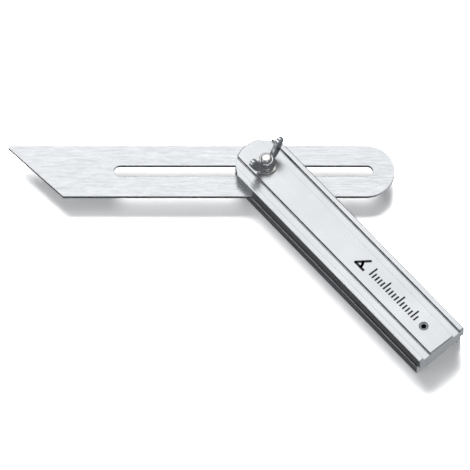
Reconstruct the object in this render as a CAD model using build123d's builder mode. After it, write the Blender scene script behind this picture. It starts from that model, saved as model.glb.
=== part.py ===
"""Sliding bevel: a slotted steel blade clamped between the two halves of an aluminium stock.

The origin is on the pivot axis, in the plane of the stock's underside. +X runs along the blade
towards its round end, +Z points up out of the stock towards the wing nut. Lengths are in millimetres.
"""

import os
from math import cos, radians, sin, tan

from build123d import *

os.makedirs("parts", exist_ok=True)

# ---- blade ----
blade_length = 200.0
blade_width = 30.0
blade_thickness = 2.0
round_end_reach = 66.4  # along the blade from the pivot axis to the crown of its round end
tip_angle = 45.0  # between the blade's long edge and its cut tip
tip_land = 1.2  # blunt on the sharp corner of the tip
slot_length = 134.0  # end to end
slot_to_round_end = 11.2  # metal left between the slot and the round end

# ---- stock ----
stock_length = 137.6  # from the pivot axis to the square end of the upper half
stock_width = 30.0
stock_angle = -49.5  # direction of the stock, turned from +X about +Z
half_thickness = 7.0
lower_half_setback = 2.2  # the lower half ends this much before the upper half
pivot_end_crown = 1.0  # how far the pivot end's radius is over half the stock's width
edge_break = 0.4  # chamfer round the outer faces
rail_width = 2.7
channel_width = 4.7
channel_depth = 1.8

# ---- clamp: bolt, washers and wing nut ----
bolt_diameter = 5.0
bolt_head_diameter = 11.0
bolt_head_thickness = 2.2
neck_length = 2.4  # square neck that stops the bolt turning
bolt_end_chamfer = 0.4
bolt_overrun = 1.8  # the bolt shows this much above the wing nut's hub
friction_washer_diameter = 24.0
friction_washer_thickness = 0.25
flat_washer_diameter = 11.5
flat_washer_thickness = 1.2
hub_base_diameter = 10.0
hub_base_land = 1.2
hub_top_diameter = 7.8
hub_height = 5.6
wing_direction = 44.5  # turned from +X about +Z
wing_thickness = 2.0
wing_span = 23.2  # tip to tip
wing_rise = 15.2  # from the seat to the top of the wings
wing_tip_radius = 2.5
wing_root_radius = 2.2
wing_root_height = 3.2

# ---- end fixing: spacer and socket screw ----
end_screw_setback = 14.2  # from the square end of the upper half to the screw's axis
end_screw_diameter = 3.0
end_screw_head_diameter = 4.6
end_screw_head_height = 2.6
end_screw_head_sink = 0.25  # the head's top lies this far below the panel
end_screw_grip = 5.0  # length held in the lower half
drill_overrun = 0.4  # the blind hole is this much deeper than the screw
socket_width = 2.5  # across the flats
socket_depth = 1.4
spacer_length = 16.0
spacer_inset = 4.0  # from the stock's long sides to the spacer

# ---- clearances ----
slot_play = 0.7  # radial, bolt in the blade's slot
slot_rest_gap = 0.1  # what is left of that play on the side that the blade has been pushed to
bolt_hole_clearance = 0.2  # radial, bolt in the stock and the flat washer
running_clearance = 0.05  # radial, friction washers and wing nut on the bolt
screw_clearance = 0.1  # radial, socket screw in its holes
seat_clearance = 0.1  # round the bolt's head and neck, and the screw's head

# ---- levels and places that follow ----
stock_gap = blade_thickness + 2 * friction_washer_thickness
gap_bottom = half_thickness
gap_top = gap_bottom + stock_gap
stock_top = gap_top + half_thickness
blade_bottom = gap_bottom + friction_washer_thickness
nut_seat = stock_top + flat_washer_thickness
bolt_end = nut_seat + hub_height + bolt_overrun
bolt_radius = bolt_diameter / 2
neck_width = bolt_diameter
slot_width = bolt_diameter + 2 * slot_play
blade_middle_y = slot_play - slot_rest_gap  # the pushed blade's middle, past the pivot axis
end_screw_place = stock_length - end_screw_setback
stock_direction = (cos(radians(stock_angle)), sin(radians(stock_angle)), 0)


def stock_plane(height: float) -> Plane:
    """Plane at a height, on the pivot axis, with its x direction along the stock."""
    return Plane(origin=(0, 0, height), x_dir=stock_direction, z_dir=(0, 0, 1))


def half_outline(height: float, length: float) -> Sketch:
    """Outline of one stock half: straight sides, a square end and a crowned pivot end."""
    end_radius = stock_width / 2 + pivot_end_crown
    with BuildSketch(stock_plane(height)) as outline:
        Circle(end_radius)
        with Locations((length / 2, 0)):
            Rectangle(length, stock_width)
        with Locations(((length - end_radius) / 2, 0)):
            Rectangle(length + end_radius, stock_width, mode=Mode.INTERSECT)
    return outline.sketch


def channel_strips(height: float) -> Sketch:
    """The two channels that run along an outer face, just inside its rails."""
    offset_across = stock_width / 2 - rail_width - channel_width / 2
    with BuildSketch(stock_plane(height)) as strips:
        with GridLocations(0, 2 * offset_across, 1, 2):
            Rectangle(4 * stock_length, channel_width)
    return strips.sketch


# ---- lower stock half ----
lower_length = stock_length - lower_half_setback
with BuildPart() as lower_stock_half:
    extrude(half_outline(0, lower_length), amount=half_thickness)
    chamfer(lower_stock_half.faces().sort_by(Axis.Z)[0].edges(), edge_break)
    extrude(channel_strips(0), amount=channel_depth, mode=Mode.SUBTRACT)
    with BuildSketch(stock_plane(0)):
        Circle(bolt_head_diameter / 2 + seat_clearance)
    extrude(amount=bolt_head_thickness, mode=Mode.SUBTRACT)
    with BuildSketch(stock_plane(0)):
        Rectangle(neck_width + 2 * seat_clearance, neck_width + 2 * seat_clearance)
    extrude(amount=bolt_head_thickness + neck_length, mode=Mode.SUBTRACT)
    with Locations(stock_plane(gap_bottom)):
        Hole(bolt_radius + bolt_hole_clearance)
        with Locations((end_screw_place, 0)):
            Hole(end_screw_diameter / 2 + running_clearance, depth=end_screw_grip + drill_overrun)
lower_stock_half.part.label = "lower_stock_half"

# ---- upper stock half ----
with BuildPart() as upper_stock_half:
    extrude(half_outline(gap_top, stock_length), amount=half_thickness)
    chamfer(upper_stock_half.faces().sort_by(Axis.Z)[-1].edges(), edge_break)
    extrude(channel_strips(stock_top), amount=-channel_depth, mode=Mode.SUBTRACT)
    with Locations(stock_plane(stock_top)):
        Hole(bolt_radius + bolt_hole_clearance)
        with Locations((end_screw_place, 0)):
            CounterBoreHole(
                end_screw_diameter / 2 + screw_clearance,
                end_screw_head_diameter / 2 + seat_clearance,
                end_screw_head_sink + end_screw_head_height,
            )
upper_stock_half.part.label = "upper_stock_half"

# ---- spacer between the halves, near the square end ----
with BuildPart() as end_spacer:
    with BuildSketch(stock_plane(gap_bottom)):
        with Locations((end_screw_place, 0)):
            Rectangle(spacer_length, stock_width - 2 * spacer_inset)
            Circle(end_screw_diameter / 2 + screw_clearance, mode=Mode.SUBTRACT)
    extrude(amount=stock_gap)
end_spacer.part.label = "end_spacer"

# ---- socket screw through the spacer ----
head_top = stock_top - end_screw_head_sink
head_seat = head_top - end_screw_head_height
with BuildPart() as end_screw:
    with BuildSketch(stock_plane(head_seat)):
        with Locations((end_screw_place, 0)):
            Circle(end_screw_head_diameter / 2)
    extrude(amount=end_screw_head_height)
    with BuildSketch(stock_plane(head_seat)):
        with Locations((end_screw_place, 0)):
            Circle(end_screw_diameter / 2)
    extrude(amount=-(head_seat - gap_bottom + end_screw_grip))
    with BuildSketch(stock_plane(head_top)):
        with Locations((end_screw_place, 0)):
            RegularPolygon(socket_width / 2, 6, major_radius=False)
    extrude(amount=-socket_depth, mode=Mode.SUBTRACT)
end_screw.part.label = "end_screw"

# ---- clamp bolt: flush round head, square neck, plain shank ----
with BuildPart() as clamp_bolt:
    with BuildSketch(stock_plane(0)):
        Circle(bolt_head_diameter / 2)
    extrude(amount=bolt_head_thickness)
    with BuildSketch(stock_plane(bolt_head_thickness)):
        Rectangle(neck_width, neck_width)
    extrude(amount=neck_length)
    with BuildSketch(stock_plane(bolt_head_thickness)):
        Circle(bolt_radius)
    extrude(amount=bolt_end - bolt_head_thickness)
    chamfer(clamp_bolt.faces().sort_by(Axis.Z)[-1].edges(), bolt_end_chamfer)
clamp_bolt.part.label = "clamp_bolt"

# ---- thin friction washers, one on each side of the blade ----
with BuildPart() as lower_friction_washer:
    with BuildSketch(Plane.XY.offset(gap_bottom)):
        Circle(friction_washer_diameter / 2)
        Circle(bolt_radius + running_clearance, mode=Mode.SUBTRACT)
    extrude(amount=friction_washer_thickness)
lower_friction_washer.part.label = "lower_friction_washer"

with BuildPart() as upper_friction_washer:
    with BuildSketch(Plane.XY.offset(gap_top - friction_washer_thickness)):
        Circle(friction_washer_diameter / 2)
        Circle(bolt_radius + running_clearance, mode=Mode.SUBTRACT)
    extrude(amount=friction_washer_thickness)
upper_friction_washer.part.label = "upper_friction_washer"

# ---- blade: one round end, one end cut at an angle, a long slot for the bolt ----
tip_x = round_end_reach - blade_length
round_centre_x = round_end_reach - blade_width / 2
tip_run = (blade_width - tip_land) / tan(radians(tip_angle))
slot_centre_x = round_end_reach - slot_to_round_end - slot_length / 2
long_edge_y = blade_middle_y + blade_width / 2
short_edge_y = blade_middle_y - blade_width / 2
with BuildPart() as blade:
    with BuildSketch(Plane.XY.offset(blade_bottom)):
        with BuildLine():
            Polyline(
                (round_centre_x, long_edge_y),
                (tip_x, long_edge_y),
                (tip_x, long_edge_y - tip_land),
                (tip_x + tip_run, short_edge_y),
                (round_centre_x, short_edge_y),
            )
            ThreePointArc(
                (round_centre_x, short_edge_y),
                (round_end_reach, blade_middle_y),
                (round_centre_x, long_edge_y),
            )
        make_face()
        with Locations((slot_centre_x, blade_middle_y)):
            SlotOverall(slot_length, slot_width, mode=Mode.SUBTRACT)
    extrude(amount=blade_thickness)
blade.part.label = "blade"

# ---- flat washer under the wing nut ----
with BuildPart() as flat_washer:
    with BuildSketch(Plane.XY.offset(stock_top)):
        Circle(flat_washer_diameter / 2)
        Circle(bolt_radius + bolt_hole_clearance, mode=Mode.SUBTRACT)
    extrude(amount=flat_washer_thickness)
flat_washer.part.label = "flat_washer"

# ---- wing nut: a tapered hub with two rising wings ----
wing_x_dir = (cos(radians(wing_direction)), sin(radians(wing_direction)), 0)
wing_plane = Plane(origin=(0, 0, nut_seat), x_dir=wing_x_dir, z_dir=(wing_x_dir[1], -wing_x_dir[0], 0))
mirror_plane = Plane(origin=(0, 0, nut_seat), z_dir=wing_x_dir)
with BuildPart() as wing_nut:
    with BuildSketch(wing_plane):
        with Locations((wing_span / 2 - wing_tip_radius, wing_rise - wing_tip_radius)):
            Circle(wing_tip_radius)
        with Locations((hub_base_diameter / 2 - wing_root_radius, wing_root_height)):
            Circle(wing_root_radius)
        make_hull()
    extrude(amount=wing_thickness / 2, both=True)
    mirror(about=mirror_plane)
    with BuildSketch(wing_plane):
        with BuildLine():
            Polyline(
                (0, 0),
                (hub_base_diameter / 2, 0),
                (hub_base_diameter / 2, hub_base_land),
                (hub_top_diameter / 2, hub_height),
                (0, hub_height),
                close=True,
            )
        make_face()
    revolve(axis=Axis.Z)
    with Locations(Plane.XY.offset(nut_seat + hub_height)):
        Hole(bolt_radius + running_clearance)
wing_nut.part.label = "wing_nut"

export_step(lower_stock_half.part, "parts/lower_stock_half.step")
export_step(upper_stock_half.part, "parts/upper_stock_half.step")
export_step(end_spacer.part, "parts/end_spacer.step")
export_step(end_screw.part, "parts/end_screw.step")
export_step(clamp_bolt.part, "parts/clamp_bolt.step")
export_step(lower_friction_washer.part, "parts/lower_friction_washer.step")
export_step(upper_friction_washer.part, "parts/upper_friction_washer.step")
export_step(blade.part, "parts/blade.step")
export_step(flat_washer.part, "parts/flat_washer.step")
export_step(wing_nut.part, "parts/wing_nut.step")
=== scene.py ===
"""Looks of a sliding bevel: a slotted steel blade clamped in a two-part aluminium stock.

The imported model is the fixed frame, and every piece takes its place from it. Sizes in the
classes are in millimetres and are turned to metres by MM where they meet the scene.
"""

import logging
import math
from collections.abc import Callable
from dataclasses import dataclass
from enum import Enum

import bmesh
import bpy
from mathutils import Matrix, Vector


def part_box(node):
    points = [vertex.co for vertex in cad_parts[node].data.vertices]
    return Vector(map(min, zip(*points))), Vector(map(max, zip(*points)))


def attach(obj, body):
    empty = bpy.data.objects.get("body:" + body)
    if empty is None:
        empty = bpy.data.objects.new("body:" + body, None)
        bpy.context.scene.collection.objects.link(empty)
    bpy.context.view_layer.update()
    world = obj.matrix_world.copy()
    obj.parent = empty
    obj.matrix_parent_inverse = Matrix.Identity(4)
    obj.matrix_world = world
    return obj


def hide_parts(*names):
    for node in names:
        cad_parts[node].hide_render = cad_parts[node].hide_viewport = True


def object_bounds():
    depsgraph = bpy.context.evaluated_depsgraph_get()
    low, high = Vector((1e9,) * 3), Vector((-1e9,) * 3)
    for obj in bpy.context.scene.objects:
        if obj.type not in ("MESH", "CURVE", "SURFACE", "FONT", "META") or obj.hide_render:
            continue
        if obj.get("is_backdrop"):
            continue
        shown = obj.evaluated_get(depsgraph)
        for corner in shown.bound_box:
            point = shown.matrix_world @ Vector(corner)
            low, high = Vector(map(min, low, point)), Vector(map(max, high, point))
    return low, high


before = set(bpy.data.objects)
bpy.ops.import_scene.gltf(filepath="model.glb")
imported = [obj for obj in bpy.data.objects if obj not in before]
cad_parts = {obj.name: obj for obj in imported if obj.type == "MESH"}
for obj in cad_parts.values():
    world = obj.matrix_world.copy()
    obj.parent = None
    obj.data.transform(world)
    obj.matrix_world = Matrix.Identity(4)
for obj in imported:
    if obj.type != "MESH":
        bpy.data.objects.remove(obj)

MM = 0.001
WELD = 0.001 * MM  # points closer than this are one
ROUND = 96  # sides of a turned, cast or cut round
FACING = 0.99  # least that the normal of a face has of the direction it faces
STEEP = 0.7  # most that the normal of a steep face has of Z
SIDEWAYS = 0.5  # most that the normal of a side face has of the direction along the stock
WORN = "worn"  # the mesh attribute that is one on rubbed edges
RUBBED_PATCH = 4.0  # usual length of the rubbed stretches of an edge, mm
RUBBED_LEAST = 0.35  # share of the wear that is left between them
log = logging.getLogger("bevel")

Point = tuple[float, float]
Span = tuple[float, float]
Box = tuple[Vector, Vector]


class Lay(Enum):
    """Direction that a surface was rolled, drawn or brushed in, degrees from +X about +Z."""

    BLADE = 0.0
    STOCK = -49.5
    ACROSS_STOCK = 40.5
    WINGS = 44.5


class Slot(Enum):
    """The record's material slots, by name; nothing in this script uses them."""

    STOCK = "stock_aluminium"
    SPACER = "spacer_plastic"
    SCREW = "screw_steel"
    BOLT = "bolt_steel"
    BLADE = "blade_steel"
    NUT = "nut_chrome"


# ---- small tools ----


def linear(colour: str, share: float = 1.0) -> tuple[float, float, float, float]:
    """Turns an sRGB colour into linear values.

    Args:
        colour: A hash sign and six hex digits.
        share: How much of its light is kept.

    Returns:
        Red, green, blue, and an alpha of one.
    """
    parts = [int(colour[i : i + 2], 16) / 255 for i in (1, 3, 5)]
    red, green, blue = (c / 12.92 if c <= 0.04045 else ((c + 0.055) / 1.055) ** 2.4 for c in parts)
    return red * share, green * share, blue * share, 1.0


def wire(tree: bpy.types.NodeTree, node: bpy.types.Node, inputs: dict) -> None:
    """Sets or links a node's inputs.

    Args:
        tree: The tree that the node is in.
        node: The node.
        inputs: A value, or another node's output, for each input's name or number.
    """
    for key, value in inputs.items():
        if isinstance(value, bpy.types.NodeSocket):
            tree.links.new(value, node.inputs[key])
        else:
            node.inputs[key].default_value = value


def add_node(tree: bpy.types.NodeTree, kind: str, inputs: dict | None = None, **settings) -> bpy.types.Node:
    """Adds a node with its settings and links.

    Args:
        tree: The tree that it goes into.
        kind: Blender's name for the type of node.
        inputs: A value, or another node's output, for each input's name or number.
        **settings: The node's own settings.

    Returns:
        The new node.
    """
    node = tree.nodes.new(kind)
    for name, value in settings.items():
        setattr(node, name, value)
    wire(tree, node, inputs or {})
    return node


def mesh_piece(name: str, mesh: bpy.types.Mesh) -> bpy.types.Object:
    """Puts a mesh into the scene as an object at the origin.

    Args:
        name: The piece's name.
        mesh: Its mesh.

    Returns:
        The new object.
    """
    piece = bpy.data.objects.new(name, mesh)
    bpy.context.scene.collection.objects.link(piece)
    return piece


def baked(piece: bpy.types.Object, smooth_below: float = 35.0) -> bpy.types.Object:
    """Turns a piece's modifiers into plain mesh and smooths it, unless a modifier set its normals.

    Args:
        piece: The piece.
        smooth_below: Largest angle between two faces that still shade as one, degrees.

    Returns:
        The same piece.
    """
    graph = bpy.context.evaluated_depsgraph_get()
    mesh = bpy.data.meshes.new_from_object(piece.evaluated_get(graph))
    piece.modifiers.clear()
    piece.data = mesh
    if not mesh.has_custom_normals:
        mesh.polygons.foreach_set("use_smooth", [True] * len(mesh.polygons))
        mesh.set_sharp_from_angle(angle=math.radians(smooth_below))
    return piece


def mark_convex(piece: bpy.types.Object, sharpness: float) -> bpy.types.Object:
    """Marks the convex places of a finely meshed piece as worn.

    Args:
        piece: The piece.
        sharpness: Curvature, per millimetre, that counts as fully worn.

    Returns:
        The same piece.
    """
    work = bmesh.new()
    work.from_mesh(piece.data)
    marks = []
    for vert in work.verts:
        bends = [
            (vert.co - edge.other_vert(vert).co).dot(vert.normal) / max(edge.calc_length() ** 2, 1e-12)
            for edge in vert.link_edges
        ]
        marks.append(min(max(sum(bends) / max(len(bends), 1) * 2 * MM / sharpness, 0.0), 1.0))
    work.free()
    layer = piece.data.attributes.new(WORN, "FLOAT", "POINT")
    layer.data.foreach_set("value", marks)
    return piece


def lathe(profile: list[Point], segments: int, turn: float = 0.0) -> bmesh.types.BMesh:
    """Spins a profile round the pivot axis into a closed solid.

    Args:
        profile: Radius and height of each point, mm, from the bottom's middle up to the top's.
        segments: Sides of the solid.
        turn: Turn of the first side, degrees.

    Returns:
        The solid, in metres.
    """
    work = bmesh.new()
    rings = []
    for radius, height in profile:
        ring = []
        for i in range(segments if radius > 0 else 1):
            angle = math.radians(turn) + 2 * math.pi * i / segments
            ring.append(work.verts.new(Vector((radius * math.cos(angle), radius * math.sin(angle), height)) * MM))
        rings.append(ring)
    for low, high in zip(rings, rings[1:]):
        for i in range(segments):
            corners = [low[i % len(low)], low[(i + 1) % len(low)], high[(i + 1) % len(high)], high[i % len(high)]]
            work.faces.new(list(dict.fromkeys(corners)))
    bmesh.ops.recalc_face_normals(work, faces=work.faces)
    return work


def plate(outline: list[Vector], lift: Vector) -> bmesh.types.BMesh:
    """Raises a flat outline into a closed plate.

    Args:
        outline: The outline's points in order, metres.
        lift: From the outline to its copy on the other face, metres.

    Returns:
        The plate.
    """
    work = bmesh.new()
    low = [work.verts.new(point) for point in outline]
    high = [work.verts.new(point + lift) for point in outline]
    work.faces.new(low)
    work.faces.new(high)
    for i in range(len(outline)):
        j = (i + 1) % len(outline)
        work.faces.new((low[i], low[j], high[j], high[i]))
    bmesh.ops.recalc_face_normals(work, faces=work.faces)
    return work


def joined(name: str, solids: list[bmesh.types.BMesh]) -> bpy.types.Mesh:
    """Puts several solids into one mesh.

    Args:
        name: The mesh's name.
        solids: The solids, which are freed.

    Returns:
        The mesh.
    """
    whole = bmesh.new()
    for solid in solids:
        part = bpy.data.meshes.new("part")
        solid.to_mesh(part)
        solid.free()
        whole.from_mesh(part)
        bpy.data.meshes.remove(part)
    mesh = bpy.data.meshes.new(name)
    whole.to_mesh(mesh)
    whole.free()
    return mesh


def curve_through(points: list[Point], steps: int = 8) -> list[Point]:
    """Rounds a closed ring of points into a smooth outline that passes through them.

    Args:
        points: The ring's points.
        steps: Points drawn for each one given.

    Returns:
        The outline.
    """
    count, outline = len(points), []
    for i in range(count):
        a, b, c, d = (Vector(points[(i + k) % count]) for k in (-1, 0, 1, 2))
        for step in range(steps):
            t = step / steps
            place = b + 0.5 * t * ((c - a) + t * ((2 * a - 5 * b + 4 * c - d) + t * (3 * (b - c) + d - a)))
            outline.append((place.x, place.y))
    return outline


def geometry_tree(name: str, given: dict[str, str]) -> tuple[bpy.types.NodeTree, bpy.types.Node]:
    """Starts a geometry tree with named inputs and one geometry output.

    Args:
        name: The tree's name.
        given: The type of socket of each named input.

    Returns:
        The tree and its input node.
    """
    tree = bpy.data.node_groups.new(name, "GeometryNodeTree")
    for label, kind in given.items():
        tree.interface.new_socket(label, in_out="INPUT", socket_type=kind)
    tree.interface.new_socket("Geometry", in_out="OUTPUT", socket_type="NodeSocketGeometry")
    return tree, add_node(tree, "NodeGroupInput")


def grown(name: str, tree: bpy.types.NodeTree, values: dict) -> bpy.types.Object:
    """Runs a geometry tree and keeps its result as a plain mesh.

    Args:
        name: The piece's name.
        tree: The tree.
        values: A value for each of its named inputs.

    Returns:
        The piece.
    """
    piece = mesh_piece(name, bpy.data.meshes.new(name))
    modifier = piece.modifiers.new(name, "NODES")
    modifier.node_group = tree
    for item in tree.interface.items_tree:
        if item.in_out == "INPUT":
            modifier[item.identifier] = values[item.name]
    return baked(piece, smooth_below=20.0)


@dataclass(frozen=True)
class Skin:
    """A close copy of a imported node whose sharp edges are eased, ready for a finish.

    Attributes:
        edge_radius: Radius on every sharp edge.
        steps: Facets across that radius.
        sharp_above: Smallest angle of an edge that is eased, degrees.
        flat_below: Largest angle between packed faces that are really one, degrees.
    """

    edge_radius: float
    steps: int = 3
    sharp_above: float = 30.0
    flat_below: float = 1.0

    def over(self, node: str, name: str) -> bpy.types.Object:
        """Makes the copy and lets it stand for the node.

        Args:
            node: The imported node.
            name: The new piece's name.

        Returns:
            The new piece.
        """
        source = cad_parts[node].data
        mesh = bpy.data.meshes.new(name)
        mesh.from_pydata([v.co for v in source.vertices], [], [list(p.vertices) for p in source.polygons])
        work = bmesh.new()
        work.from_mesh(mesh)
        bmesh.ops.remove_doubles(work, verts=work.verts, dist=WELD)
        flat = math.radians(self.flat_below)
        bmesh.ops.dissolve_limit(work, angle_limit=flat, verts=work.verts, edges=work.edges)
        work.to_mesh(mesh)
        work.free()
        piece = mesh_piece(name, mesh)
        eased = piece.modifiers.new("eased_edges", "BEVEL")
        eased.width = self.edge_radius * MM
        eased.segments = self.steps
        eased.limit_method = "ANGLE"
        eased.angle_limit = math.radians(self.sharp_above)
        eased.use_clamp_overlap = False
        eased.material = 1  # an empty second place, which tells the eased edges from the faces
        for _ in range(2):
            mesh.materials.append(None)
        level = piece.modifiers.new("level_faces", "WEIGHTED_NORMAL")
        level.keep_sharp = True
        mesh.polygons.foreach_set("use_smooth", [True] * len(mesh.polygons))
        baked(piece)
        on_edge = [polygon.material_index for polygon in piece.data.polygons]
        layer = piece.data.attributes.new(WORN, "FLOAT", "FACE")
        layer.data.foreach_set("value", [float(mark) for mark in on_edge])
        piece.data.polygons.foreach_set("material_index", [0] * len(on_edge))
        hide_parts(node)
        return piece


# ---- finishes ----


@dataclass(frozen=True)
class Finish:
    """What every finish has.

    Attributes:
        name: The material's common name and how its surface was made.
        colour: sRGB colour.
        worn_colour: sRGB colour where handling has rubbed the edges.
        roughness: Middle of the surface's roughness.
    """

    name: str
    colour: str
    worn_colour: str
    roughness: float

    def made(self) -> bpy.types.Material:
        """Finds the material, or builds it the first time."""
        return bpy.data.materials.get(self.name) or self.material()

    def start(self) -> tuple[bpy.types.Material, bpy.types.NodeTree, bpy.types.Node, bpy.types.NodeSocket]:
        """Starts the material.

        Returns:
            The material, its tree, its shader and the place on the object.
        """
        material = bpy.data.materials.new(self.name)
        material.use_nodes = True
        tree = material.node_tree
        tree.nodes.clear()
        shader = add_node(tree, "ShaderNodeBsdfPrincipled")
        add_node(tree, "ShaderNodeOutputMaterial", {"Surface": shader.outputs["BSDF"]})
        return material, tree, shader, add_node(tree, "ShaderNodeTexCoord").outputs["Object"]

    def edges(self, tree: bpy.types.NodeTree, place: bpy.types.NodeSocket) -> bpy.types.NodeSocket:
        """Reads where hands and pouches have rubbed the edges, in uneven lengths.

        Args:
            tree: The material's tree.
            place: The place on the object.

        Returns:
            Up to one on an edge, zero away from it.
        """
        uneven = add_node(
            tree, "ShaderNodeTexNoise", {"Vector": place, "Scale": 1 / (RUBBED_PATCH * MM), "Detail": 2.0}
        ).outputs["Fac"]
        kept = add_node(
            tree, "ShaderNodeMapRange", {"Value": uneven, "From Min": 0.3, "From Max": 0.6, "To Min": RUBBED_LEAST}
        ).outputs[0]
        edge = add_node(tree, "ShaderNodeAttribute", attribute_name=WORN).outputs["Fac"]
        return add_node(tree, "ShaderNodeMath", {0: edge, 1: kept}, operation="MULTIPLY").outputs[0]

    def material(self) -> bpy.types.Material:
        """Builds the material."""
        raise NotImplementedError


@dataclass(frozen=True)
class AnodisedExtrusion(Finish):
    """Extruded aluminium, etched matt and clear anodised.

    The eye gets a pale silver satin with faint straight lines that the die drew along the
    length, a fine etched grain, and slightly brighter rubbed corners.

    Attributes:
        lay: Direction of the extrusion.
        line_pitch: Distance between die lines.
        line_length: Length over which a die line keeps its depth.
        grain: Size of the etched grain, drawn at 0.3 where the real one is 0.03, so that it shows.
        cloud: Size of the faint clouds in the coat.
        cloud_shade: Share of its light that the coat keeps in a cloud.
        spread: How far the roughness goes up and down.
        polish: How much smoother a rubbed edge is.
        relief: Depth of the die lines and of the grain.
    """

    lay: Lay = Lay.STOCK
    line_pitch: float = 0.45
    line_length: float = 90.0
    grain: float = 0.3
    cloud: float = 22.0
    cloud_shade: float = 0.93
    spread: float = 0.03
    polish: float = 0.1
    relief: float = 0.01

    def material(self) -> bpy.types.Material:
        """Builds the material.

        Returns:
            The material.
        """
        material, tree, shader, place = self.start()
        drawn = add_node(
            tree,
            "ShaderNodeMapping",
            {
                "Vector": place,
                "Rotation": (0, 0, math.radians(self.lay.value)),
                "Scale": (self.line_length * MM, self.line_pitch * MM, self.line_pitch * MM),
            },
            vector_type="TEXTURE",
        )
        lines = add_node(
            tree, "ShaderNodeTexNoise", {"Vector": drawn.outputs[0], "Scale": 1.0, "Detail": 2.0, "Roughness": 0.6}
        ).outputs["Fac"]
        grain = add_node(
            tree, "ShaderNodeTexNoise", {"Vector": place, "Scale": 1 / (self.grain * MM), "Detail": 1.0}
        ).outputs["Fac"]
        cloud = add_node(
            tree, "ShaderNodeTexNoise", {"Vector": place, "Scale": 1 / (self.cloud * MM), "Detail": 3.0}
        ).outputs["Fac"]
        worn = self.edges(tree, place)
        tone = add_node(
            tree, "ShaderNodeMix",
            {0: cloud, 6: linear(self.colour), 7: linear(self.colour, self.cloud_shade)},
            data_type="RGBA",
        )
        colour = add_node(
            tree, "ShaderNodeMix", {0: worn, 6: tone.outputs[2], 7: linear(self.worn_colour)}, data_type="RGBA"
        )
        uneven = add_node(tree, "ShaderNodeMath", {0: lines, 1: grain, 2: cloud}, operation="MULTIPLY_ADD")
        rough = add_node(
            tree, "ShaderNodeMapRange",
            {"Value": uneven.outputs[0], "From Min": 0.45, "From Max": 1.05,
             "To Min": self.roughness - self.spread, "To Max": self.roughness + self.spread},
        )
        polished = add_node(
            tree, "ShaderNodeMath", {0: worn, 1: -self.polish, 2: rough.outputs[0]}, operation="MULTIPLY_ADD"
        )
        depth = self.relief * MM
        ridges = add_node(tree, "ShaderNodeBump", {"Strength": 0.1, "Distance": depth, "Height": lines})
        skin = add_node(
            tree, "ShaderNodeBump",
            {"Strength": 0.08, "Distance": depth, "Height": grain, "Normal": ridges.outputs[0]},
        )
        wire(tree, shader, {
            "Base Color": colour.outputs[2], "Metallic": 1.0, "Roughness": polished.outputs[0],
            "Normal": skin.outputs[0],
        })
        return material


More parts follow.
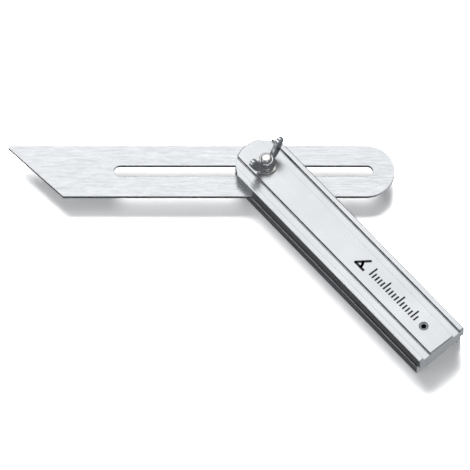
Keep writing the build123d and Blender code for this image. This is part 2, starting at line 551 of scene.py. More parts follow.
@dataclass(frozen=True)
class BrushedMetal(Finish):
    """Bare metal that was ground, brushed or sawn in one direction.

    The eye gets short streaks that run with the tool, some lighter and some darker, a few
    finer cross scratches from use, and bright rubbed edges.

    Attributes:
        lay: Direction of the brushing.
        streak_pitch: Distance between streaks, drawn at 0.5 where the real grit leaves 0.1.
        streak_length: Usual length of a streak.
        contrast: How much darker the dark streaks are.
        spread: How far the roughness goes up and down.
        relief: Depth of the streaks.
        scratch_turn: Direction of the scratches from use, degrees from +X.
        scratch_length: Length of such a scratch.
        scratch_width: Its width.
        scratch_depth: Its depth.
        scratch_dulls: How much rougher it is than the metal round it.
    """

    lay: Lay = Lay.BLADE
    streak_pitch: float = 0.5
    streak_length: float = 5.0
    contrast: float = 0.12
    spread: float = 0.05
    relief: float = 0.012
    scratch_turn: float = 24.0
    scratch_length: float = 14.0
    scratch_width: float = 0.25
    scratch_depth: float = 0.01
    scratch_dulls: float = 0.12

    def material(self) -> bpy.types.Material:
        """Builds the material.

        Returns:
            The material.
        """
        material, tree, shader, place = self.start()
        heights = []
        for longer, wider in ((1.0, 1.0), (2.8, 2.6)):  # the ordinary streaks, then a few bold ones
            length, width = self.streak_length * longer * MM, self.streak_pitch * wider * MM
            drawn = add_node(
                tree, "ShaderNodeMapping",
                {"Vector": place, "Rotation": (0, 0, math.radians(self.lay.value)), "Scale": (length, width, width)},
                vector_type="TEXTURE",
            )
            heights.append(add_node(
                tree, "ShaderNodeTexNoise",
                {"Vector": drawn.outputs[0], "Scale": 1.0, "Detail": 3.0, "Roughness": 0.65, "Distortion": 0.5},
            ).outputs["Fac"])
        length, width = self.scratch_length * MM, self.scratch_width * MM
        crossed = add_node(
            tree, "ShaderNodeMapping",
            {"Vector": place, "Rotation": (0, 0, math.radians(self.scratch_turn)), "Scale": (length, width, width)},
            vector_type="TEXTURE",
        )
        scratch = add_node(
            tree, "ShaderNodeTexNoise", {"Vector": crossed.outputs[0], "Scale": 1.0, "Detail": 1.0}
        ).outputs["Fac"]
        scratches = add_node(
            tree, "ShaderNodeMapRange", {"Value": scratch, "From Min": 0.7, "From Max": 0.76}
        ).outputs[0]
        both = add_node(
            tree, "ShaderNodeMix", {0: 0.45, 2: heights[0], 3: heights[1]}, data_type="FLOAT"
        ).outputs[0]
        worn = self.edges(tree, place)
        dark, light = 0.36, 0.64  # nearly all of the streaks' heights lie between these
        streaked = add_node(tree, "ShaderNodeMapRange", {"Value": both, "From Min": dark, "From Max": light})
        tone = add_node(
            tree, "ShaderNodeMix",
            {0: streaked.outputs[0], 6: linear(self.colour, 1 - self.contrast), 7: linear(self.colour)},
            data_type="RGBA",
        )
        colour = add_node(
            tree, "ShaderNodeMix", {0: worn, 6: tone.outputs[2], 7: linear(self.worn_colour)}, data_type="RGBA"
        )
        rough = add_node(
            tree, "ShaderNodeMapRange",
            {"Value": both, "From Min": dark, "From Max": light,
             "To Min": self.roughness + self.spread, "To Max": self.roughness - self.spread},
        )
        dulled = add_node(
            tree, "ShaderNodeMath",
            {0: scratches, 1: self.scratch_dulls, 2: rough.outputs[0]}, operation="MULTIPLY_ADD",
        )
        brushed = add_node(
            tree, "ShaderNodeBump", {"Strength": 0.35, "Distance": self.relief * MM, "Height": both}
        )
        scored = add_node(
            tree, "ShaderNodeBump",
            {"Strength": 0.3, "Distance": -self.scratch_depth * MM, "Height": scratches,
             "Normal": brushed.outputs[0]},
        )
        wire(tree, shader, {
            "Base Color": colour.outputs[2], "Metallic": 1.0, "Roughness": dulled.outputs[0],
            "Normal": scored.outputs[0],
        })
        return material


@dataclass(frozen=True)
class PlatedMetal(Finish):
    """Steel or cast zinc under a bright plated coat.

    The eye gets clear reflections that wander slightly where the casting or forging under the
    coat is uneven, with faint rubbing that dulls the high places.

    Attributes:
        wander: Distance over which the surface under the coat rises and falls.
        depth: How much it rises and falls.
        rub: Size of the rubbed marks.
        dulling: How much rougher the worst of them are.
    """

    wander: float = 2.4
    depth: float = 0.03
    rub: float = 0.8
    dulling: float = 0.14

    def material(self) -> bpy.types.Material:
        """Builds the material.

        Returns:
            The material.
        """
        material, tree, shader, place = self.start()
        waves = add_node(
            tree, "ShaderNodeTexNoise", {"Vector": place, "Scale": 1 / (self.wander * MM), "Detail": 2.0}
        ).outputs["Fac"]
        rubs = add_node(
            tree, "ShaderNodeTexNoise",
            {"Vector": place, "Scale": 1 / (self.rub * MM), "Detail": 4.0, "Roughness": 0.7, "Distortion": 0.6},
        ).outputs["Fac"]
        worn = self.edges(tree, place)
        colour = add_node(
            tree, "ShaderNodeMix", {0: worn, 6: linear(self.colour), 7: linear(self.worn_colour)}, data_type="RGBA"
        )
        rough = add_node(
            tree, "ShaderNodeMapRange",
            {"Value": rubs, "From Min": 0.4, "From Max": 0.75,
             "To Min": self.roughness, "To Max": self.roughness + self.dulling},
        )
        surface = add_node(tree, "ShaderNodeBump", {"Strength": 0.5, "Distance": self.depth * MM, "Height": waves})
        wire(tree, shader, {
            "Base Color": colour.outputs[2], "Metallic": 1.0, "Roughness": rough.outputs[0],
            "Normal": surface.outputs[0],
        })
        return material


@dataclass(frozen=True)
class Nylon(Finish):
    """Nylon, moulded or stamped from sheet.

    The eye gets a soft, slightly waxy surface with a fine pebbled grain, and edges that have
    gone paler where they rub.

    Attributes:
        grain: Size of the mould's texture.
        depth: Depth of that texture.
        spread: How far the roughness goes up and down.
        ior: Nylon's index of refraction.
    """

    grain: float = 0.35
    depth: float = 0.02
    spread: float = 0.06
    ior: float = 1.53

    def material(self) -> bpy.types.Material:
        """Builds the material.

        Returns:
            The material.
        """
        material, tree, shader, place = self.start()
        pebble = add_node(
            tree, "ShaderNodeTexNoise", {"Vector": place, "Scale": 1 / (self.grain * MM), "Detail": 3.0}
        ).outputs["Fac"]
        worn = self.edges(tree, place)
        colour = add_node(
            tree, "ShaderNodeMix", {0: worn, 6: linear(self.colour), 7: linear(self.worn_colour)}, data_type="RGBA"
        )
        rough = add_node(
            tree, "ShaderNodeMapRange",
            {"Value": pebble, "From Min": 0.35, "From Max": 0.65,
             "To Min": self.roughness - self.spread, "To Max": self.roughness + self.spread},
        )
        grain = add_node(tree, "ShaderNodeBump", {"Strength": 0.4, "Distance": self.depth * MM, "Height": pebble})
        wire(tree, shader, {
            "Base Color": colour.outputs[2], "Roughness": rough.outputs[0], "Normal": grain.outputs[0],
            "IOR": self.ior,
        })
        return material


@dataclass(frozen=True)
class PrintedInk(Finish):
    """Pad-printed ink on anodised metal.

    The eye gets a flat dark mark, a little thin in places where the pad lifted.

    Attributes:
        patch: Size of the thin places.
        depth: How far the film sinks there.
        spread: How far the roughness goes up and down.
    """

    patch: float = 0.7
    depth: float = 0.004
    spread: float = 0.1

    def material(self) -> bpy.types.Material:
        """Builds the material.

        Returns:
            The material.
        """
        material, tree, shader, place = self.start()
        patches = add_node(
            tree, "ShaderNodeTexNoise",
            {"Vector": place, "Scale": 1 / (self.patch * MM), "Detail": 4.0, "Roughness": 0.7},
        ).outputs["Fac"]
        thin = add_node(
            tree, "ShaderNodeMapRange", {"Value": patches, "From Min": 0.5, "From Max": 0.75}
        ).outputs[0]
        colour = add_node(
            tree, "ShaderNodeMix", {0: thin, 6: linear(self.colour), 7: linear(self.worn_colour)}, data_type="RGBA"
        )
        rough = add_node(
            tree, "ShaderNodeMapRange",
            {"Value": patches, "To Min": self.roughness - self.spread, "To Max": self.roughness + self.spread},
        )
        film = add_node(
            tree, "ShaderNodeBump", {"Strength": 0.2, "Distance": self.depth * MM, "Height": patches}
        )
        wire(tree, shader, {
            "Base Color": colour.outputs[2], "Roughness": rough.outputs[0], "Normal": film.outputs[0],
        })
        return material


@dataclass(frozen=True)
class StudioPaper(Finish):
    """Matt white seamless paper, lit a little from underneath.

    The eye gets an even white ground with a barely visible fibre and soft, pale shadows.

    Attributes:
        glow: Strength of the light that comes up through the paper.
        fibre: Size of its fibres.
        tooth: Depth of its surface.
    """

    glow: float = 0.18
    fibre: float = 1.5
    tooth: float = 0.02

    def material(self) -> bpy.types.Material:
        """Builds the material.

        Returns:
            The material.
        """
        material, tree, shader, place = self.start()
        fibre = add_node(
            tree, "ShaderNodeTexNoise", {"Vector": place, "Scale": 1 / (self.fibre * MM), "Detail": 4.0}
        ).outputs["Fac"]
        colour = add_node(
            tree, "ShaderNodeMix", {0: fibre, 6: linear(self.colour), 7: linear(self.worn_colour)}, data_type="RGBA"
        )
        tooth = add_node(
            tree, "ShaderNodeBump", {"Strength": 0.05, "Distance": self.tooth * MM, "Height": fibre}
        )
        wire(tree, shader, {
            "Base Color": colour.outputs[2], "Roughness": self.roughness, "Normal": tooth.outputs[0],
            "Emission Color": linear(self.colour), "Emission Strength": self.glow,
        })
        return material


# ---- sub-assemblies ----


def dress(piece: bpy.types.Object, finish: Finish, body: str) -> bpy.types.Object:
    """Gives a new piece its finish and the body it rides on.

    Args:
        piece: The piece.
        finish: Its finish.
        body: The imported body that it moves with.

    Returns:
        The same piece.
    """
    piece.data.materials.clear()
    piece.data.materials.append(finish.made())
    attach(piece, body)
    log.info("%s: %s, %d faces, rides on %s", piece.name, finish.name, len(piece.data.polygons), body)
    return piece


def dress_faces(piece: bpy.types.Object, finish: Finish, chosen: Callable[[bpy.types.MeshPolygon], bool]) -> None:
    """Gives some faces of a dressed piece a second finish.

    Args:
        piece: The piece.
        finish: The second finish.
        chosen: Tells whether a face takes it.
    """
    piece.data.materials.append(finish.made())
    for face in piece.data.polygons:
        if chosen(face):
            face.material_index = len(piece.data.materials) - 1


def dress_node(node: str, finish: Finish) -> None:
    """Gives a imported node, whose shape is right, its finish.

    Args:
        node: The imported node.
        finish: Its finish.
    """
    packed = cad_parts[node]
    for place in packed.material_slots:
        place.material = finish.made()
    log.info("%s: %s, packed shape kept", node, finish.name)


@dataclass(frozen=True)
class Stock:
    """The two aluminium halves, the spacer and screw that join them, and the printed mark.

    Attributes:
        half_edge: Radius on the edges of the halves.
        spacer_edge: Radius on the spacer's edges.
        screw_edge: Radius on the end screw's edges.
        socket_reach: From the end screw's axis to just outside its socket.
        socket_depth: From the screw's top to just below its socket.
        socket_lip: From the screw's top to where the socket's own faces start.
        inner_reach: From the stock's middle plane to just inside its long sides.
        mark_start: From the pivot axis to the start of the printed mark, along the stock.
        mark_middle: From the stock's middle line to the mark's, across the stock.
        badge: Side of the square that the badge fills.
        badge_stroke: Width of the badge's strokes, as a share of its side.
        badge_arc: Radius of the badge's arc, as a share of its side.
        scale_start: From the pivot axis to the first line of the printed scale.
        line_pitch: Between the scale's lines.
        line_count: Lines in the scale.
        line_stroke: Width of a line.
        short_line: Length of an ordinary line.
        long_line: Length of every fifth line.
        ink: Thickness of the ink, half of it keyed into the surface.
        metal: Finish of the halves' extruded faces.
        sawn: Of their sawn ends.
        painted_shade: Painted shade: a dark colour on the sides of the channels and of the gap between the halves,
            standing for the shade in these recesses.
        nylon: Of the spacer.
        socket: Of the inside of the end screw's socket: a near black colour, painted shade for the shade deep in the
            socket.
        steel: Of the rest of the end screw.
        print_ink: Of the scale and the badge.
    """

    half_edge: float = 0.18
    spacer_edge: float = 0.3
    screw_edge: float = 0.1
    socket_reach: float = 1.6
    socket_depth: float = 2.0
    socket_lip: float = 0.12
    inner_reach: float = 13.5
    mark_start: float = 72.6
    mark_middle: float = 1.0
    badge: float = 6.4
    badge_stroke: float = 0.22
    badge_arc: float = 0.62
    scale_start: float = 83.0
    line_pitch: float = 2.15
    line_count: int = 17
    line_stroke: float = 1.0
    short_line: float = 3.4
    long_line: float = 5.6
    ink: float = 0.03
    metal: Finish = AnodisedExtrusion("anodised_aluminium_extruded", "#c7c9cb", "#dadada", 0.28)
    sawn: Finish = BrushedMetal("aluminium_sawn", "#d4d6d7", "#e0e0e0", 0.5, Lay.ACROSS_STOCK, 0.3, 7.0, 0.2)
    # painted shade: this dark coat on the steep inner faces stands for the shade in the channels and the gap
    painted_shade: Finish = AnodisedExtrusion("anodised_aluminium_painted_shade", "#5c5e60", "#a8aaab", 0.5)
    nylon: Finish = Nylon("nylon_black_moulded", "#1a1a1b", "#3a3a3c", 0.45)
    # painted shade: the near black coat stands for the shade deep inside the end screw's socket
    socket: Finish = PlatedMetal("steel_socket_painted_shade", "#17181a", "#2a2b2d", 0.5, 0.8, 0.02, 0.4)
    steel: Finish = PlatedMetal("zinc_plated_steel_turned", "#8b8d8e", "#a8aaab", 0.34, 1.2, 0.01, 0.5)
    print_ink: Finish = PrintedInk("pad_printed_ink", "#222324", "#4c4d4f", 0.5)

    def build(self) -> None:
        """Builds and dresses every piece of the stock."""
        for node in ("lower_stock_half", "upper_stock_half"):
            self.half(node)
        dress(Skin(self.spacer_edge).over("end_spacer", "end_spacer_moulded"), self.nylon, "stock")
        self.screw()
        dress(self.printed_scale(), self.print_ink, "stock")
        dress(self.printed_badge(), self.print_ink, "stock")

    def half(self, node: str) -> None:
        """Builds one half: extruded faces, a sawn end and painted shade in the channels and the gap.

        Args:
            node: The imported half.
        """
        along = Vector((math.cos(math.radians(Lay.STOCK.value)), math.sin(math.radians(Lay.STOCK.value)), 0))
        across = Vector((-along.y, along.x, 0))
        piece = dress(Skin(self.half_edge).over(node, node + "_extruded"), self.metal, "stock")
        dress_faces(piece, self.sawn, lambda face: face.normal.dot(along) > FACING)
        # painted shade: the steep faces inside the long sides, the channel walls and the gap, take the dark coat
        dress_faces(
            piece, self.painted_shade,
            lambda face: abs(face.normal.z) < STEEP and abs(face.normal.dot(along)) < SIDEWAYS
            and abs(face.center.dot(across)) < self.inner_reach * MM,
        )

    def screw(self) -> None:
        """Builds the end screw, with painted shade inside its socket."""
        piece = dress(Skin(self.screw_edge).over("end_screw", "end_screw_turned"), self.steel, "stock")
        low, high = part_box("end_screw")
        middle, lip = (low + high) / 2, high[2] - self.socket_lip * MM
        # painted shade: the faces inside the socket, below its lip, take the near black coat
        dress_faces(
            piece, self.socket,
            lambda face: face.center.z < lip and (face.center - middle).to_2d().length < self.socket_reach * MM
            and face.center.z > high[2] - self.socket_depth * MM,
        )

    def on_panel(self, along: float) -> Matrix:
        """Finds a place for print on the panel.

        Args:
            along: Distance from the pivot axis along the stock.

        Returns:
            From the print's own flat frame to the scene.
        """
        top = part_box("upper_stock_half")[1][2]
        turn = Matrix.Rotation(math.radians(Lay.STOCK.value), 4, "Z")
        return Matrix.Translation((0, 0, top)) @ turn @ Matrix.Translation((along * MM, self.mark_middle * MM, 0))

    def printed_scale(self) -> bpy.types.Object:
        """Prints a plain graduated scale, every fifth line longer.

        Returns:
            The piece.
        """
        kind = "NodeSocketFloat"
        tree, given = geometry_tree("graduated_scale", {
            "Count": "NodeSocketInt", "Pitch": kind, "Stroke": kind, "Short": kind, "Long": kind, "Ink": kind,
            "Finish": "NodeSocketMaterial",
        })
        step = add_node(tree, "ShaderNodeCombineXYZ", {"X": given.outputs["Pitch"]})
        row = add_node(
            tree, "GeometryNodeMeshLine", {"Count": given.outputs["Count"], "Offset": step.outputs[0]}, mode="OFFSET"
        )
        size = add_node(
            tree, "ShaderNodeCombineXYZ", {"X": given.outputs["Stroke"], "Y": 1.0, "Z": given.outputs["Ink"]}
        )
        line = add_node(tree, "GeometryNodeMeshCube", {"Size": size.outputs[0]})
        footed = add_node(
            tree, "GeometryNodeTransform", {"Geometry": line.outputs["Mesh"], "Translation": (0.0, 0.5, 0.0)}
        )
        index = add_node(tree, "GeometryNodeInputIndex")
        fifth = add_node(tree, "ShaderNodeMath", {0: index.outputs[0], 1: 5.0}, operation="MODULO")
        ordinary = add_node(tree, "ShaderNodeMath", {0: fifth.outputs[0], 1: 0.5}, operation="GREATER_THAN")
        reach = add_node(
            tree, "ShaderNodeMix",
            {0: ordinary.outputs[0], 2: given.outputs["Long"], 3: given.outputs["Short"]}, data_type="FLOAT",
        )
        stretch = add_node(tree, "ShaderNodeCombineXYZ", {"X": 1.0, "Y": reach.outputs[0], "Z": 1.0})
        lines = add_node(
            tree, "GeometryNodeInstanceOnPoints",
            {"Points": row.outputs["Mesh"], "Instance": footed.outputs[0], "Scale": stretch.outputs[0]},
        )
        real = add_node(tree, "GeometryNodeRealizeInstances", {"Geometry": lines.outputs[0]})
        inked = add_node(
            tree, "GeometryNodeSetMaterial", {"Geometry": real.outputs[0], "Material": given.outputs["Finish"]}
        )
        add_node(tree, "NodeGroupOutput", {"Geometry": inked.outputs[0]})
        piece = grown("printed_scale", tree, {
            "Count": self.line_count, "Pitch": self.line_pitch * MM, "Stroke": self.line_stroke * MM,
            "Short": self.short_line * MM, "Long": self.long_line * MM, "Ink": self.ink * MM,
            "Finish": self.print_ink.made(),
        })
        foot = Matrix.Translation((0, -self.long_line / 2 * MM, 0))
        piece.data.transform(self.on_panel(self.scale_start) @ foot)
        return piece

    def printed_badge(self) -> bpy.types.Object:
        """Prints a plain badge: two arms that meet at an angle, with an arc between them.

        Returns:
            The piece.
        """
        half, stroke, radius = self.badge / 2, self.badge * self.badge_stroke, self.badge * self.badge_arc
        strokes = [[(-half, -half), (half, -half)], [(-half, -half), (half * 0.55, half)]]
        angles = [math.radians(degrees) for degrees in range(0, 53, 4)]
        strokes.append([(-half + radius * math.cos(a), -half + radius * math.sin(a)) for a in angles])
        solids = []
        for path in strokes:
            points = [Vector((x, y, -self.ink / 2)) for x, y in path]
            for a, b in zip(points, points[1:]):
                across = (b - a).cross(Vector((0, 0, 1))).normalized() * stroke / 2
                ahead = (b - a).normalized() * stroke * 0.3  # each length laps over the next
                corners = [a - ahead - across, b + ahead - across, b + ahead + across, a - ahead + across]
                solids.append(plate([corner * MM for corner in corners], Vector((0, 0, self.ink)) * MM))
        mesh = joined("printed_badge", solids)
        mesh.transform(self.on_panel(self.mark_start + half))
        return mesh_piece("printed_badge", mesh)


@dataclass(frozen=True)
class Blade:
    """The slotted steel blade.

    Attributes:
        edge: Radius left on its edges by deburring.
        steel: Its finish.
    """

    edge: float = 0.14
    steel: Finish = BrushedMetal("stainless_steel_brushed", "#c8cacc", "#dddddd", 0.27)

    def build(self) -> None:
        """Builds and dresses the blade."""
        dress(Skin(self.edge).over("blade", "blade_brushed"), self.steel, "blade")


@dataclass(frozen=True)
class Clamp:
    """The bolt, its washers and the wing nut.

    Attributes:
        bolt_radius: Over the thread.
        thread_pitch: Rise of the thread in one turn.
        thread_turns: Turns of thread above the stock.
        thread_runout: Length of the core below the thread's last turn.
        thread_lead: Length of the core above its first turn.
        head_radius: Of the bolt's flush head.
        head_thickness: Of that head.
        neck_length: Of the square neck under the head.
        washer_edge: Radius on the flat washer's edges.
        hub_base_radius: Of the wing nut's hub at its seat.
        hub_top_radius: Of the hub at its top.
        hub_height: Of the hub.
        wing_root_half: Half the wings' thickness at the hub.
        wing_tip_half: Half the wings' thickness at their tips.
        wing_reach: From the nut's axis to the wings' tips.
        cast_edge: Radius on the casting's edges before it is smoothed.
        voxel: Fineness of the casting's mesh.
        smoothing: Rounds of smoothing that stand for tumbling.
        rubbed_bend: Curvature, per millimetre, at which the casting is fully rubbed.
        chrome: Finish of the wing nut.
        nickel: Of the bolt and the flat washer.
        sheet: Of the two friction washers.
    """

    bolt_radius: float = 2.5
    thread_pitch: float = 0.8
    thread_turns: float = 9.0
    thread_runout: float = 0.5
    thread_lead: float = 0.35
    head_radius: float = 5.5
    head_thickness: float = 2.2
    neck_length: float = 2.4
    washer_edge: float = 0.25
    hub_base_radius: float = 4.4
    hub_top_radius: float = 3.9
    hub_height: float = 5.6
    wing_root_half: float = 1.35
    wing_tip_half: float = 1.15
    wing_reach: float = 11.5
    cast_edge: float = 0.65
    voxel: float = 0.13
    smoothing: int = 16
    rubbed_bend: float = 1.6
    chrome: Finish = PlatedMetal("chrome_plated_zinc_cast", "#c4c6c9", "#dcdddf", 0.14)
    nickel: Finish = PlatedMetal("nickel_plated_steel_rolled", "#d0cfcc", "#dedddb", 0.16, 1.5, 0.012, 0.5)
    sheet: Finish = Nylon("nylon_natural_stamped", "#dedacd", "#e9e6dc", 0.4)

    def build(self) -> None:
        """Builds and dresses every piece of the clamp."""
        dress(self.bolt(), self.nickel, "stock")
        dress(self.thread(), self.nickel, "stock")
        for washer in ("lower_friction_washer", "upper_friction_washer"):
            dress_node(washer, self.sheet)
        flat = Skin(self.washer_edge).over("flat_washer", "flat_washer_stamped")
        dress(flat, self.nickel, "washer")
        dress(self.wing_nut(), self.chrome, "nut")

    def bolt(self) -> bpy.types.Object:
        """Forges the bolt: flush head, square neck and a plain core for the thread.

        Returns:
            The piece.
        """
        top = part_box("clamp_bolt")[1][2] / MM
        ridge = self.thread_pitch / 2
        core, head, under = self.bolt_radius - ridge, self.head_radius, self.head_thickness
        thread_start = top - self.thread_pitch * self.thread_turns - self.thread_runout
        turned = lathe([
            (0, 0.08), (2.2, 0.05), (4.6, 0), (head - 0.35, 0), (head - 0.1, 0.1), (head, 0.35),
            (head, under - 0.2), (head - 0.15, under), (self.bolt_radius, under),
            (self.bolt_radius, thread_start), (core, thread_start + ridge), (core, top - 1.2),
            (core + 0.3, top - 1.0), (core + 0.3, top - 0.35), (core + 0.1, top - 0.1), (core - 0.2, top - 0.02),
            (1.0, top), (0, top),
        ], ROUND)
        corner, start, end = self.bolt_radius * math.sqrt(2), under - 0.1, under + self.neck_length
        neck = lathe([(0, start), (corner, start), (corner, end), (0, end)], 4, Lay.STOCK.value + 45)
        piece = mesh_piece("clamp_bolt_forged", joined("clamp_bolt_forged", [turned, neck]))
        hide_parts("clamp_bolt")
        return baked(piece)

    def thread(self) -> bpy.types.Object:
        """Rolls the thread: a V ridge wound round the bolt's core.

        Returns:
            The piece.
        """
        kind = "NodeSocketFloat"
        tree, given = geometry_tree("rolled_thread", {
            "Radius": kind, "Ridge": kind, "Pitch": kind, "Turns": kind, "Start": kind, "Finish": "NodeSocketMaterial",
        })
        rise = add_node(
            tree, "ShaderNodeMath", {0: given.outputs["Pitch"], 1: given.outputs["Turns"]}, operation="MULTIPLY"
        )
        path = add_node(tree, "GeometryNodeCurveSpiral", {
            "Resolution": 48, "Rotations": given.outputs["Turns"], "Start Radius": given.outputs["Radius"],
            "End Radius": given.outputs["Radius"], "Height": rise.outputs[0],
        })
        upright = add_node(tree, "GeometryNodeSetCurveNormal", {"Curve": path.outputs[0]}, mode="Z_UP")
        flanks = add_node(
            tree, "GeometryNodeCurvePrimitiveCircle", {"Resolution": 4, "Radius": given.outputs["Ridge"]}
        )
        ridge = add_node(tree, "GeometryNodeCurveToMesh", {
            "Curve": upright.outputs[0], "Profile Curve": flanks.outputs[0], "Fill Caps": True,
        })
        lift = add_node(tree, "ShaderNodeCombineXYZ", {"Z": given.outputs["Start"]})
        placed = add_node(
            tree, "GeometryNodeTransform", {"Geometry": ridge.outputs[0], "Translation": lift.outputs[0]}
        )
        real = add_node(tree, "GeometryNodeRealizeInstances", {"Geometry": placed.outputs[0]})
        plated = add_node(
            tree, "GeometryNodeSetMaterial", {"Geometry": real.outputs[0], "Material": given.outputs["Finish"]}
        )
        add_node(tree, "NodeGroupOutput", {"Geometry": plated.outputs[0]})
        ridge_size = self.thread_pitch / 2
        length = self.thread_pitch * self.thread_turns + ridge_size + self.thread_lead
        return grown("clamp_bolt_thread", tree, {
            "Radius": (self.bolt_radius - ridge_size) * MM, "Ridge": ridge_size * MM,
            "Pitch": self.thread_pitch * MM, "Turns": self.thread_turns,
            "Start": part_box("clamp_bolt")[1][2] - length * MM,
            "Finish": self.nickel.made(),
        })

    def wing_nut(self) -> bpy.types.Object:
        """Casts the wing nut: a flared hub and two thinning, rounded wings, as one skin.

        Returns:
            The piece.
        """
        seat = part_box("wing_nut")[0][2] / MM
        base, top, tall = self.hub_base_radius, self.hub_top_radius, self.hub_height
        bore = self.bolt_radius + 0.1
        hub = lathe([
            (bore, seat), (base - 0.3, seat), (base, seat + 0.3), (base - 0.05, seat + 0.9), (base - 0.5, seat + 1.7),
            (top + 0.1, seat + 3.6), (top, seat + tall - 0.4), (top - 0.35, seat + tall), (bore + 0.35, seat + tall),
            (bore, seat + tall - 0.3), (bore, seat),
        ], ROUND)
        bmesh.ops.remove_doubles(hub, verts=hub.verts, dist=WELD)
        outline = curve_through([
            (3.1, 0.5), (5.2, 0.9), (7.5, 2.9), (9.4, 6.1), (10.9, 9.8), (11.6, 12.6), (11.1, 14.6), (9.3, 15.2),
            (7.6, 14.2), (6.3, 11.4), (5.0, 8.6), (3.7, 6.2), (2.95, 4.4), (2.9, 2.4),
        ])
        turn = Matrix.Rotation(math.radians(Lay.WINGS.value), 4, "Z")
        solids = [hub]
        for side in (1, -1):
            wing = plate([Vector((side * u, -1, seat + w)) * MM for u, w in outline], Vector((0, 2, 0)) * MM)
            for vert in wing.verts:
                outward = min(abs(vert.co.x) / MM / self.wing_reach, 1.0)
                vert.co.y *= self.wing_root_half + (self.wing_tip_half - self.wing_root_half) * outward
            wing.transform(turn)
            bmesh.ops.recalc_face_normals(wing, faces=wing.faces)
            solids.append(wing)
        piece = mesh_piece("wing_nut_cast", joined("wing_nut_cast", solids))
        eased = piece.modifiers.new("eased_edges", "BEVEL")
        eased.width, eased.segments = self.cast_edge * MM, 3
        eased.limit_method, eased.angle_limit = "ANGLE", math.radians(50)
        skin = piece.modifiers.new("one_skin", "REMESH")
        skin.mode, skin.voxel_size = "VOXEL", self.voxel * MM
        worn = piece.modifiers.new("tumbled", "SMOOTH")
        worn.factor, worn.iterations = 0.5, self.smoothing
        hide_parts("wing_nut")
        return mark_convex(baked(piece, smooth_below=80.0), self.rubbed_bend)


# ---- studio ----


@dataclass(frozen=True)
class Light:
    """One soft light that faces the object.

    Attributes:
        name: What it is.
        azimuth: Where it stands: 0 is behind the object (+Y), 90 to its right (+X), degrees.
        elevation: Above the floor, degrees.
        distance: From the object, metres.
        width: Of the lit face, metres.
        height: Of the lit face, metres.
        power: Watts.
        ground_only: Whether it lights the floor alone, past the object's own shadow.
    """

    name: str
    azimuth: float
    elevation: float
    distance: float
    width: float
    height: float
    power: float
    ground_only: bool = False


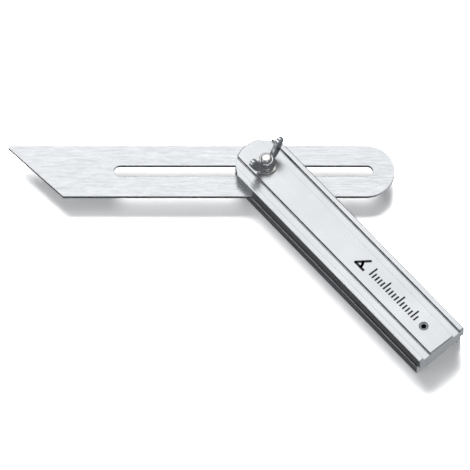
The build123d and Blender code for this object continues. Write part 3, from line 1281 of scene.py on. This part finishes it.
@dataclass(frozen=True)
class Studio:
    """Pale floor, soft lights and the camera.

    Attributes:
        view_elevation: The camera's height above the horizon, degrees.
        view_distance: From the camera to its aim, metres.
        lens: Focal length.
        sensor: Width of the camera's sensor.
        aim_x: From the middle of the object's box to the camera's aim.
        aim_y: The same along Y.
        aim_height: The aim's height above the floor.
        floor_radius: Of the floor, metres.
        floor_gap: From the floor up to the object, so that their faces stay apart.
        tint: sRGB colour of the room's own light.
        horizon: Strength of that light near the horizon.
        zenith: The same overhead.
        below: The same from below, on the left and in front.
        below_right: The same from below, on the right.
        side_blend: Where below gives way to below_right, in a direction's X.
        low_blend: Where the light from below gives way to the horizon's, in a direction's Z.
        high_blend: Where the horizon's gives way to the zenith's, in a direction's Z.
        lights: The soft lights round the object.
        paper: Finish of the floor.
    """

    view_elevation: float = 61.5
    view_distance: float = 4.0
    lens: float = 596.8
    sensor: float = 36.0
    aim_x: float = 0.28
    aim_y: float = 8.2
    aim_height: float = 16.5
    floor_radius: float = 8.0
    floor_gap: float = 0.02
    tint: str = "#e9edf2"
    horizon: float = 0.38
    zenith: float = 0.3
    below: float = 0.1
    below_right: float = 0.85
    side_blend: Span = (0.1, 0.55)
    low_blend: Span = (-0.8, -0.3)
    high_blend: Span = (0.1, 0.65)
    lights: tuple[Light, ...] = (
        Light("ground_softbox", -10, 38, 2.6, 1.8, 1.5, 310.0, ground_only=True),
        Light("softbox_above", -12, 63, 1.5, 1.1, 0.8, 4.15),
        Light("softbox_front", 163, 14, 1.6, 0.9, 0.5, 2.2),
        Light("softbox_left", -110, 24, 1.3, 0.8, 0.7, 3.2),
    )
    paper: Finish = StudioPaper("paper_white_seamless", "#f6f6f6", "#f0f0f0", 0.9)

    def build(self, box: Box) -> None:
        """Sets up the studio round the object.

        Args:
            box: The object's lowest and highest corners.
        """
        self.floor(box)
        self.lamps(box)
        self.camera(box)
        self.room()
        bpy.context.scene.view_settings.view_transform = "Standard"

    def room(self) -> None:
        """Makes the room: even grey walls and ceiling, dark below but for the right side."""
        world = bpy.data.worlds.new("studio_room")
        world.use_nodes = True
        tree = world.node_tree
        tree.nodes.clear()
        place = add_node(tree, "ShaderNodeTexCoord").outputs["Generated"]
        way = add_node(tree, "ShaderNodeSeparateXYZ", {0: place})
        light = self.below
        for axis, (start, end), beyond in (
            ("X", self.side_blend, self.below_right),
            ("Z", self.low_blend, self.horizon),
            ("Z", self.high_blend, self.zenith),
        ):
            light = add_node(
                tree, "ShaderNodeMapRange",
                {"Value": way.outputs[axis], "From Min": start, "From Max": end, "To Min": light, "To Max": beyond},
                interpolation_type="SMOOTHSTEP",
            ).outputs[0]
        wall = add_node(tree, "ShaderNodeBackground", {"Color": linear(self.tint), "Strength": light})
        add_node(tree, "ShaderNodeOutputWorld", {"Surface": wall.outputs[0]})
        bpy.context.scene.world = world

    def floor(self, box: Box) -> None:
        """Lays the floor just under the object, out of the sight of its reflections.

        Args:
            box: The object's lowest and highest corners.
        """
        work = bmesh.new()
        bmesh.ops.create_circle(work, cap_ends=True, segments=ROUND, radius=self.floor_radius)
        mesh = bpy.data.meshes.new("studio_floor")
        work.to_mesh(mesh)
        work.free()
        mesh.transform(Matrix.Translation((0, 0, box[0].z - self.floor_gap * MM)))
        mesh.materials.append(self.paper.material())
        ground = mesh_piece("studio_floor", mesh)
        ground.visible_glossy = ground.visible_diffuse = ground.visible_shadow = False
        ground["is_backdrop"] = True

    def lamps(self, box: Box) -> None:
        """Hangs the lights.

        Args:
            box: The object's lowest and highest corners.
        """
        centre = (box[0] + box[1]) / 2
        for light in self.lights:
            lamp = bpy.data.lights.new(light.name, "AREA")
            lamp.shape, lamp.size, lamp.size_y = "RECTANGLE", light.width, light.height
            lamp.energy = light.power
            a, e = math.radians(light.azimuth), math.radians(light.elevation)
            away = Vector((math.sin(a) * math.cos(e), math.cos(a) * math.cos(e), math.sin(e)))
            holder = bpy.data.objects.new(light.name, lamp)
            holder.location = centre + away * light.distance
            holder.rotation_euler = away.to_track_quat("Z", "Y").to_euler()
            holder.visible_camera = False
            bpy.context.scene.collection.objects.link(holder)
            if light.ground_only:
                lit = bpy.data.collections.new(light.name + "_lit")
                lit.objects.link(bpy.data.objects["studio_floor"])
                holder.light_linking.receiver_collection = lit

    def camera(self, box: Box) -> None:
        """Stands the camera in front of the object, looking along +Y and down.

        Args:
            box: The object's lowest and highest corners.
        """
        centre = (box[0] + box[1]) / 2
        aim = Vector((centre.x + self.aim_x * MM, centre.y + self.aim_y * MM, self.aim_height * MM))
        tilt = math.radians(self.view_elevation)
        lens = bpy.data.cameras.new("camera")
        lens.lens, lens.sensor_width = self.lens, self.sensor
        lens.clip_start, lens.clip_end = 0.1, 50.0
        camera = bpy.data.objects.new("camera", lens)
        camera.location = aim + Vector((0, -math.cos(tilt), math.sin(tilt))) * self.view_distance
        camera.rotation_euler = (math.pi / 2 - tilt, 0, 0)
        bpy.context.scene.collection.objects.link(camera)
        bpy.context.scene.camera = camera


def main() -> None:
    """Builds the looks and the studio."""
    logging.basicConfig(level=logging.INFO, format="%(message)s")
    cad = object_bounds()
    for assembly in (Stock(), Blade(), Clamp()):
        assembly.build()
    Studio().build(cad)


if __name__ == "__main__":
    main()
